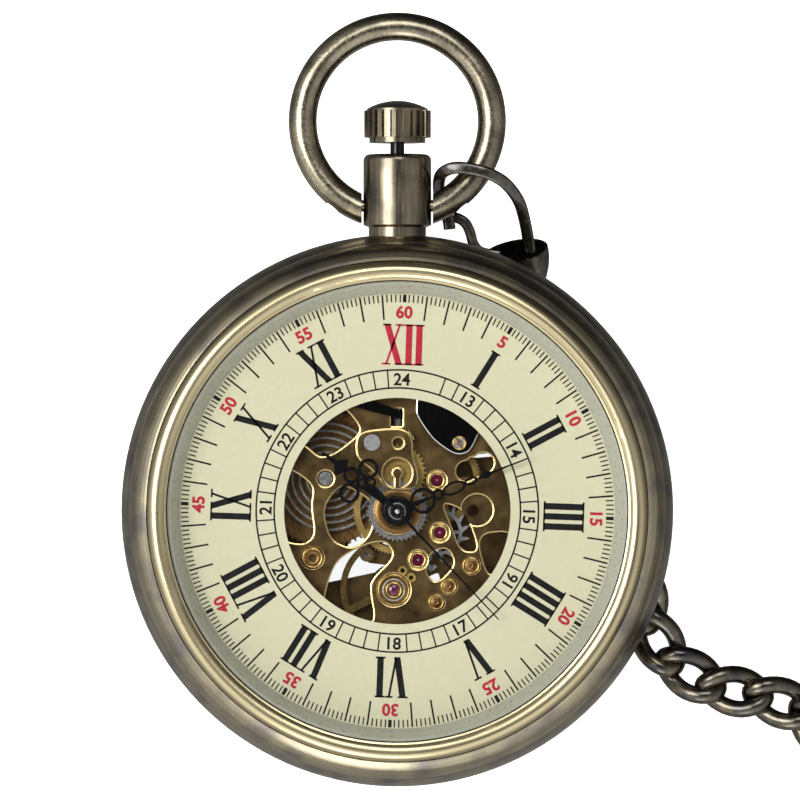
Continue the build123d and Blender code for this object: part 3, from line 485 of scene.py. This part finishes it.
def detail_movement():
    """Bevels with painted highlights, gilt cups round the jewels and screws, and the discs at the hands'
    hubs.
    """
    # bevel ribbons in paler metal: painted highlights along the plates' and bridges' edges
    bright_bevels("main_plate", 0.12, GILT_PAINTED_HIGHLIGHT)
    bright_bevels("minute_bridge", 0.15, GILT_PAINTED_HIGHLIGHT)
    bright_bevels("setting_bridge", 0.08, STEEL_PAINTED_HIGHLIGHT)
    gilt = LOOKS["gilt"]
    r, z = JEWEL_CUP_R, PLATE_TOP
    for i, at in enumerate(JEWEL_CUPS):
        lathe(f"jewel_cup_{i}", at, rounded(r + 0.26, r - 0.08, z, z + 0.1), gilt, "case")
    for i, (x, y, r, z) in enumerate(SCREW_CUPS):
        rim = rounded(r + 0.10, r - 0.18, z, z + 0.24)
        face = [(r - 0.16, z + 0.12), (r * 0.5, z + 0.15), (r * 0.42, z + 0.22), (0.12, z + 0.24),
                (0.001, z + 0.1)]
        lathe(f"screw_cup_{i}", (x, y), rim, gilt, "case")
        lathe(f"screw_face_{i}", (x, y), face, DARK_BRASS, "case")
    lathe("nut_rim", NUT, rounded(0.98, 0.62, PLATE_TOP, PLATE_TOP + 0.3), gilt, "case")
    lathe("nut_face", NUT, [(0.66, 8.7), (0.4, 8.76), (0.34, 8.6)], DARK_BRASS, "case")
    detail_shock_setting(gilt)
    washer = [(1.98, 9.31), (1.9, 9.36), (1.1, 9.36), (1.04, 9.32)]
    lathe("hour_washer", CENTER, washer, DARK_BRASS, "hour")
    # the washer's bright gilt rim is a painted highlight
    lathe("hour_washer_rim", CENTER, rounded(2.05, 1.93, 9.3, 9.4), GILT_PAINTED_HIGHLIGHT, "hour")
    for i, (body, r, top) in enumerate(HAND_HUBS):
        rim = rounded(r, r - 0.16, top, top + 0.07)
        lathe(f"hub_rim_{i}", CENTER, rim, LOOKS["black_hand"], body)
    pip = [(0.24, 11.42), (0.2, 11.52), (0.001, 11.54)]
    lathe("hub_pip", CENTER, pip, LOOKS["steel"], "seconds")


def detail_shock_setting(gilt):
    """Rings, spring and stone over the balance's pivot."""
    rim = rounded(1.42, 1.18, PLATE_TOP, PLATE_TOP + 0.22)
    stone = [(0.52, 8.6), (0.4, 8.68), (0.2, 8.73), (0.001, 8.74)]
    lathe("shock_outer", BALANCE, rim, gilt, "case")
    lathe("shock_floor", BALANCE, [(1.2, 8.68), (0.98, 8.67)], DARK_BRASS, "case")
    lathe("shock_spring", BALANCE, rounded(1.0, 0.82, 8.66, 8.8), LOOKS["steel"], "case")
    lathe("shock_inner", BALANCE, rounded(0.74, 0.5, 8.62, 8.78), gilt, "case")
    lathe("shock_stone", BALANCE, stone, LOOKS["ruby"], "case")


# ---- clasp --------------------------------------------------------------------------------------
def band(name, route, wide, thick, body):
    """Flat strip with rounded edges along a smooth line, its broad side up."""
    line = smooth_route(route)
    count = 12
    points, faces = [], []
    for i, at in enumerate(line):
        along = (line[min(i + 1, len(line) - 1)] - line[max(i - 1, 0)]).normalized()
        side = along.cross(Vector((0, 0, 1))).normalized()
        up = side.cross(along)
        for k in range(count):
            a = 2 * pi * (k + 0.5) / count
            points.append(at + side * (squared(cos(a)) * wide * MM) + up * (squared(sin(a)) * thick * MM))
    for i in range(len(line) - 1):
        for k in range(count):
            a, b = i * count, (i + 1) * count
            faces.append((a + k, a + (k + 1) % count, b + (k + 1) % count, b + k))
    faces += [tuple(range(count))[::-1], tuple(range(len(points) - count, len(points)))]
    mesh = bpy.data.meshes.new(name)
    mesh.from_pydata(points, [], faces)
    mesh.polygons.foreach_set("use_smooth", [True] * len(mesh.polygons))
    made = shown(name, mesh, LOOKS["clasp_metal"], body)
    soften = made.modifiers.new("soften", "BEVEL")
    soften.width = 0.05 * MM
    soften.limit_method = "ANGLE"
    soften.angle_limit = radians(35)
    return made


def squared(value):
    """A circle's coordinate pushed outward, so that its section becomes a rounded box."""
    return copysign(abs(value) ** 0.5, value)


def build_clasp():
    hook = band("spring_hook", HOOK_ROUTE, 0.52, 0.34, "clasp")
    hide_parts("clasp_hook")
    gate = band("spring_gate", GATE_ROUTE, 0.45, 0.3, "gate")
    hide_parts("clasp_gate")


# ---- flat printing ------------------------------------------------------------------------------
class Print:
    """Thin flat marks gathered into one mesh."""

    def __init__(self):
        self.points = []
        self.faces = []

    def add(self, outline):
        start = len(self.points)
        self.points += outline
        self.faces.append(list(range(start, start + len(outline))))

    def piece(self, name, material, slot_name):
        mesh = bpy.data.meshes.new(name)
        turn = Matrix.Rotation(radians(DIAL_TURN), 4, "Z")
        height = (DIAL_TOP + PRINT_LIFT) * MM
        points = [turn @ Vector((x * MM, y * MM, height)) for x, y in self.points]
        mesh.from_pydata(points, [], self.faces)
        shown(name, mesh, material, "case")


def on_ring(radius, clock, u, v):
    """Point u to the right and v above the middle of a place on the dial, clock in degrees."""
    a = radians(clock)
    return ((radius + v) * sin(a) + u * cos(a), (radius + v) * cos(a) - u * sin(a))


def bar(marks, radius, clock, corners, flip=False):
    """Outline placed on the dial, its foot toward the middle unless flipped."""
    sign = -1 if flip else 1
    marks.add([on_ring(radius, clock, sign * u, sign * v) for u, v in corners])


def tick(marks, clock, inner, outer, width):
    """Straight mark from one radius to another."""
    half = width / 2
    bar(marks, 0, clock, [(-half, inner), (half, inner), (half, outer), (-half, outer)])


def circle(marks, radius, width):
    inner, outer = radius - width / 2, radius + width / 2
    for a in range(0, 360, 2):
        corners = ((inner, a), (outer, a), (outer, a + 2), (inner, a + 2))
        marks.add([on_ring(r, clock, 0, 0) for r, clock in corners])


def serif(middle, edge, reach):
    """Flat foot or cap of a stroke, lying inside its edge."""
    inner = edge - SERIF if edge > 0 else edge + SERIF
    left, right = middle - reach, middle + reach
    return [(left, edge), (right, edge), (right, inner), (left, inner)]


def slanted(top, bottom, width):
    """Stroke between the numeral's head and foot."""
    half, side = ROMAN_HEIGHT / 2, width / 2
    return [(bottom - side, -half), (bottom + side, -half), (top + side, half), (top - side, half)]


def roman(marks, text, clock, radius):
    """Roman numeral of thick stems, thin hairlines and flat serifs, standing on the dial's middle."""
    half = ROMAN_HEIGHT / 2
    at = -sum(ADVANCE[c] for c in text) / 2
    for letter in text:
        middle = at + ADVANCE[letter] / 2
        shapes = []
        if letter == "I":
            shapes.append(slanted(middle, middle, STEM))
            shapes += [serif(middle, half, 0.42), serif(middle, -half, 0.42)]
        elif letter == "V":
            shapes += [slanted(middle - 0.58, middle, STEM), slanted(middle + 0.62, middle + 0.08, THIN)]
            shapes += [serif(middle - 0.58, half, 0.42), serif(middle + 0.62, half, 0.34)]
        else:
            left, right = middle - 0.55, middle + 0.55
            shapes += [slanted(left, right, STEM), slanted(right, left, THIN)]
            for side in (-0.55, 0.55):
                shapes += [serif(middle + side, half, 0.36), serif(middle + side, -half, 0.36)]
        for shape in shapes:
            bar(marks, radius, clock, shape)
        at += ADVANCE[letter]


def numeral(marks, text, clock, radius, height, bold, base_in=True):
    """Arabic numeral in the built-in face, as flat geometry."""
    curve = bpy.data.curves.new("numeral", "FONT")
    curve.body = text
    curve.size = height / 0.73
    curve.align_x = "CENTER"
    curve.offset = bold
    curve.resolution_u = 3
    source = bpy.data.objects.new("numeral", curve)
    mesh = bpy.data.meshes.new_from_object(source)
    points = [(v.co.x, v.co.y - height / 2) for v in mesh.vertices]
    for face in mesh.polygons:
        bar(marks, radius, clock, [points[i] for i in face.vertices], not base_in)
    bpy.data.objects.remove(source)
    bpy.data.meshes.remove(mesh)
    bpy.data.curves.remove(curve)


def print_dial():
    """Minute track, five-minute numerals, Roman hours and the ring of hours 13 to 24."""
    ink = lacquer("ink_black", (0.014, 0.014, 0.014), (0.007, 0.007, 0.008), (0.35, 0.45), shine=0.12)
    red = lacquer("ink_red", (0.52, 0.03, 0.055), (0.42, 0.02, 0.04), (0.35, 0.45), shine=0.12)
    black, reds = Print(), Print()
    for fifth in range(300):
        if fifth % 5:
            tick(black, fifth * 1.2, *MINUTE_TRACK, 0.11)
        elif fifth % 25:
            tick(black, fifth * 1.2, LONG_TICK_FROM, MINUTE_TRACK[1], 0.15)
        else:
            tick(black, fifth * 1.2, *MINUTE_TRACK, 0.30)
    circle(black, DIAL_EDGE_LINE, 0.09)
    for minute in range(5, 65, 5):
        numeral(reds, str(minute), minute * 6, FIVE_MINUTE_R, 1.04, 0.05)
    names = ["I", "II", "III", "IIII", "V", "VI", "VII", "VIII", "IX", "X", "XI", "XII"]
    for hour, name in enumerate(names, 1):
        roman(reds if hour == 12 else black, name, hour * 30, ROMAN_R)
    for radius in reversed(HOUR_RING):
        circle(black, radius, 0.14)
    for hour in range(12):
        offsets = (6, 12, 18, 24) if hour else (18, 24)
        for offset in offsets:
            tick(black, hour * 30 + offset, *HOUR_RING, FINE_LINE)
    tick(black, -18, *HOUR_RING, FINE_LINE)
    for hour in range(1, 12):
        upright = not 4 <= hour <= 8
        numeral(black, str(hour + 12), hour * 30, HOUR_RING_MIDDLE, NUMERAL_HEIGHT, 0.03, upright)
    numeral(black, "24", 0, HOUR_RING_MIDDLE, NUMERAL_HEIGHT, 0.03)
    black.piece("dial_print_black", ink, "black_hand")
    reds.piece("dial_print_red", red, "dial_cream")


# ---- chain ------------------------------------------------------------------------------------------
def smooth_route(points):
    """Points along the route's smooth line, read from its spline."""
    curve = bpy.data.curves.new("route", "CURVE")
    curve.dimensions = "3D"
    spline = curve.splines.new("NURBS")
    spline.points.add(len(points) - 1)
    for target, point in zip(spline.points, points):
        target.co = (*[value * MM for value in point], 1)
    spline.order_u = 3
    spline.use_endpoint_u = True
    spline.resolution_u = 16
    source = bpy.data.objects.new("route", curve)
    mesh = bpy.data.meshes.new_from_object(source)
    line = [v.co.copy() for v in mesh.vertices]
    bpy.data.objects.remove(source)
    return line


def chain_points():
    """The route across the table and the wound coil that ends at the bar's eye."""
    points = [(x, y, CHAIN_Z) for x, y in CHAIN_ROUTE]
    for i in range(1, COIL_STEPS):
        turned = i * COIL_STEP
        r = COIL_START_R - COIL_PITCH * turned / 360
        a = radians(COIL_FROM + turned)
        points.append((COIL_AT[0] + r * cos(a), COIL_AT[1] + r * sin(a), CHAIN_Z))
    for x, y in CHAIN_END:
        points.append((COIL_AT[0] + x, COIL_AT[1] + y, CHAIN_Z))
    return points


def link_mesh(bm, place):
    """One twisted oval link of round wire, added to bm."""
    around, across = 36, 10
    centres = []
    for i in range(around):
        t = 2 * pi * i / around
        roll = LINK_TWIST * cos(t)
        aside = LINK_WIDE * sin(t)
        centres.append(Vector((LINK_LONG * cos(t), aside * cos(roll), aside * sin(roll))))
    rings = []
    for i, centre in enumerate(centres):
        along = (centres[(i + 1) % around] - centres[i - 1]).normalized()
        side = along.cross(Vector((0, 0, 1))).normalized()
        up = side.cross(along)
        ring = []
        for k in range(across):
            a = 2 * pi * k / across
            point = centre + (side * cos(a) + up * sin(a)) * LINK_WIRE
            ring.append(bm.verts.new(place @ (point * MM)))
        rings.append(ring)
    for a, b in zip(rings, rings[1:] + rings[:1]):
        for k in range(across):
            bm.faces.new((a[k], a[(k + 1) % across], b[(k + 1) % across], b[k])).smooth = True


def build_chain():
    """Curb chain: separate links at an even pitch along the route, as one mesh."""
    line = smooth_route(chain_points())
    bm = bmesh.new()
    travelled, target = 0.0, CHAIN_START * MM
    length = sum((b - a).length for a, b in zip(line, line[1:]))
    links = round((length - target) / (LINK_PITCH * MM))
    pitch = (length - target) / links
    for a, b in zip(line, line[1:]):
        span = (b - a).length
        while span > 0 and travelled + span >= target - SLACK:
            at = a + (b - a) * ((target - travelled) / span)
            heading = (b - a).normalized()
            turn = Matrix(((heading.x, -heading.y, 0), (heading.y, heading.x, 0), (0, 0, 1))).to_4x4()
            link_mesh(bm, Matrix.Translation(at) @ turn @ Matrix.Rotation(LINK_LEAN, 4, "X"))
            target += pitch
        travelled += span
    mesh = bpy.data.meshes.new("curb_chain")
    bmesh.ops.recalc_face_normals(bm, faces=bm.faces)
    bm.to_mesh(mesh)
    bm.free()
    chain = shown("curb_chain", mesh, LOOKS["chain_metal"], "case")
    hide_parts("chain_run", "chain_coil")
    print("chain length", length)


# ---- studio -----------------------------------------------------------------------------------------
def lay_floor():
    """White paper that also glows, so that it stays pale everywhere."""
    mesh = bpy.data.meshes.new("floor")
    corners = [(x * FLOOR_REACH, y * FLOOR_REACH, 0) for x, y in ((-1, -1), (1, -1), (1, 1), (-1, 1))]
    mesh.from_pydata(corners, [], [(0, 1, 2, 3)])
    paper, tree, shader = new_material("white_paper")
    grain = noise(tree, coordinates(tree, "even", 800), 3.0)
    shades = [(0.3, (0.90, 0.90, 0.90)), (0.7, (0.93, 0.93, 0.93))]
    tree.links.new(ramp(tree, grain, shades), shader.inputs["Base Color"])
    shader.inputs["Roughness"].default_value = 0.9
    shader.inputs["Emission Color"].default_value = (1, 1, 1, 1)
    shader.inputs["Emission Strength"].default_value = 1.0
    mesh.materials.append(paper)
    floor = bpy.data.objects.new("floor", mesh)
    bpy.context.collection.objects.link(floor)
    floor.visible_glossy = False


def light_sky():
    """Surroundings: a bright ring above, dark straight overhead and toward the crown's side."""
    world = bpy.data.worlds.new("studio")
    bpy.context.scene.world = world
    world.use_nodes = True
    tree = world.node_tree
    x, y, z = split(tree, tree.nodes.new("ShaderNodeTexCoord").outputs["Generated"])
    glow = ramp(tree, spread(tree, z, 0.0, 1.0, (-1, 1)), [(level, (v, v, v)) for level, v in SKY])
    from_left = math_node(tree, "MULTIPLY", x, -0.18)
    from_below = math_node(tree, "MULTIPLY", y, -0.62)
    across = math_node(tree, "ADD", from_left, from_below)
    side = math_node(tree, "MAXIMUM", math_node(tree, "ADD", across, 0.62), 0.06)
    background = tree.nodes["Background"]
    tree.links.new(mixed(tree, side, flat(tree, (0, 0, 0)), glow), background.inputs[0])
    background.inputs[1].default_value = 1.1


def hang_lights():
    """Three soft lamps, aimed at the watch."""
    for name, place, size, power in LIGHTS:
        light = bpy.data.lights.new(name, "AREA")
        light.size = size
        light.energy = power
        made = bpy.data.objects.new(name, light)
        made.location = place
        aim = Vector((0, 0.01, 0.01)) - Vector(place)
        made.rotation_euler = aim.to_track_quat("-Z", "Y").to_euler()
        bpy.context.collection.objects.link(made)


def set_camera():
    """Camera straight above the dial, close enough for a little perspective, with plain colours."""
    bpy.context.scene.view_settings.view_transform = "Standard"
    camera = bpy.data.cameras.new("camera")
    camera.sensor_width = SENSOR
    camera.lens = SENSOR * CAMERA_HEIGHT / VIEW_WIDTH
    made = bpy.data.objects.new("camera", camera)
    made.location = (*CAMERA_AT, CAMERA_HEIGHT + DIAL_TOP * MM)
    bpy.context.collection.objects.link(made)
    bpy.context.scene.camera = made


dress_cad()
detail_movement()
print_dial()
build_clasp()
build_chain()
lay_floor()
light_sky()
hang_lights()
set_camera()
